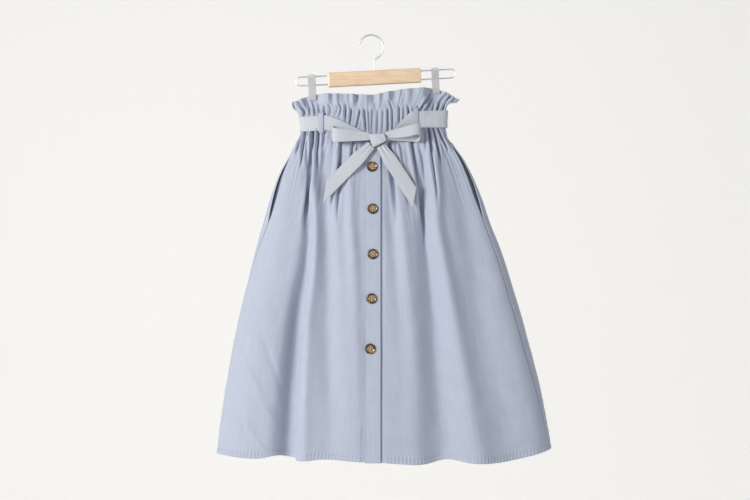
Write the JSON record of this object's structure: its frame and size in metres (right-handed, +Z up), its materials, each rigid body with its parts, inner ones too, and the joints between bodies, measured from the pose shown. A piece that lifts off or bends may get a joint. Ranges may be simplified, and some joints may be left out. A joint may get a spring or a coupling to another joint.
{
  "type": "a-line midi skirt on a clip hanger",
  "caption": "A-line midi skirt with a paper-bag waist, side pockets, buttoned placket and tied belt, held flat by the clips of a wooden hanger.",
  "frame": {"origin": "inner top of the hanger's hook, where a rail carries it", "axes": "+Z up; the front faces -Y; +X to the right as seen from the front"},
  "size_m": [0.6375, 0.1299, 0.8132],
  "materials": {
    "cotton": "plain matte woven cotton, light dusty blue",
    "belt_cotton": "plain matte woven cotton, a little lighter and greyer",
    "pocket_cotton": "plain matte woven cotton",
    "tortoiseshell": "mottled brown, polished",
    "maple": "clear satin lacquer",
    "steel": "plated, satin"
  },
  "bodies": {
    "root": {"front_left": "cotton", "front_right": "cotton", "back": "cotton", "placket": "cotton", "belt": "belt_cotton", "belt_loop_front_left": "belt_cotton", "belt_loop_front_right": "belt_cotton", "belt_loop_back_left": "belt_cotton", "belt_loop_back_right": "belt_cotton", "bow_knot": "belt_cotton", "bow_loop_left": "belt_cotton", "bow_loop_right": "belt_cotton", "bow_tail_left": "belt_cotton", "bow_tail_right": "belt_cotton", "pocket_bag_left": "pocket_cotton", "pocket_bag_right": "pocket_cotton", "button_1": "tortoiseshell", "button_2": "tortoiseshell", "button_3": "tortoiseshell", "button_4": "tortoiseshell", "button_5": "tortoiseshell", "hanger_bar": "maple", "hanger_hook": "steel", "hanger_wire_left": "steel", "hanger_wire_right": "steel", "clip_left_front_jaw": "steel", "clip_left_back_jaw": "steel", "clip_left_spool": "steel", "clip_right_front_jaw": "steel", "clip_right_back_jaw": "steel", "clip_right_spool": "steel"}
  },
  "joints": []
}
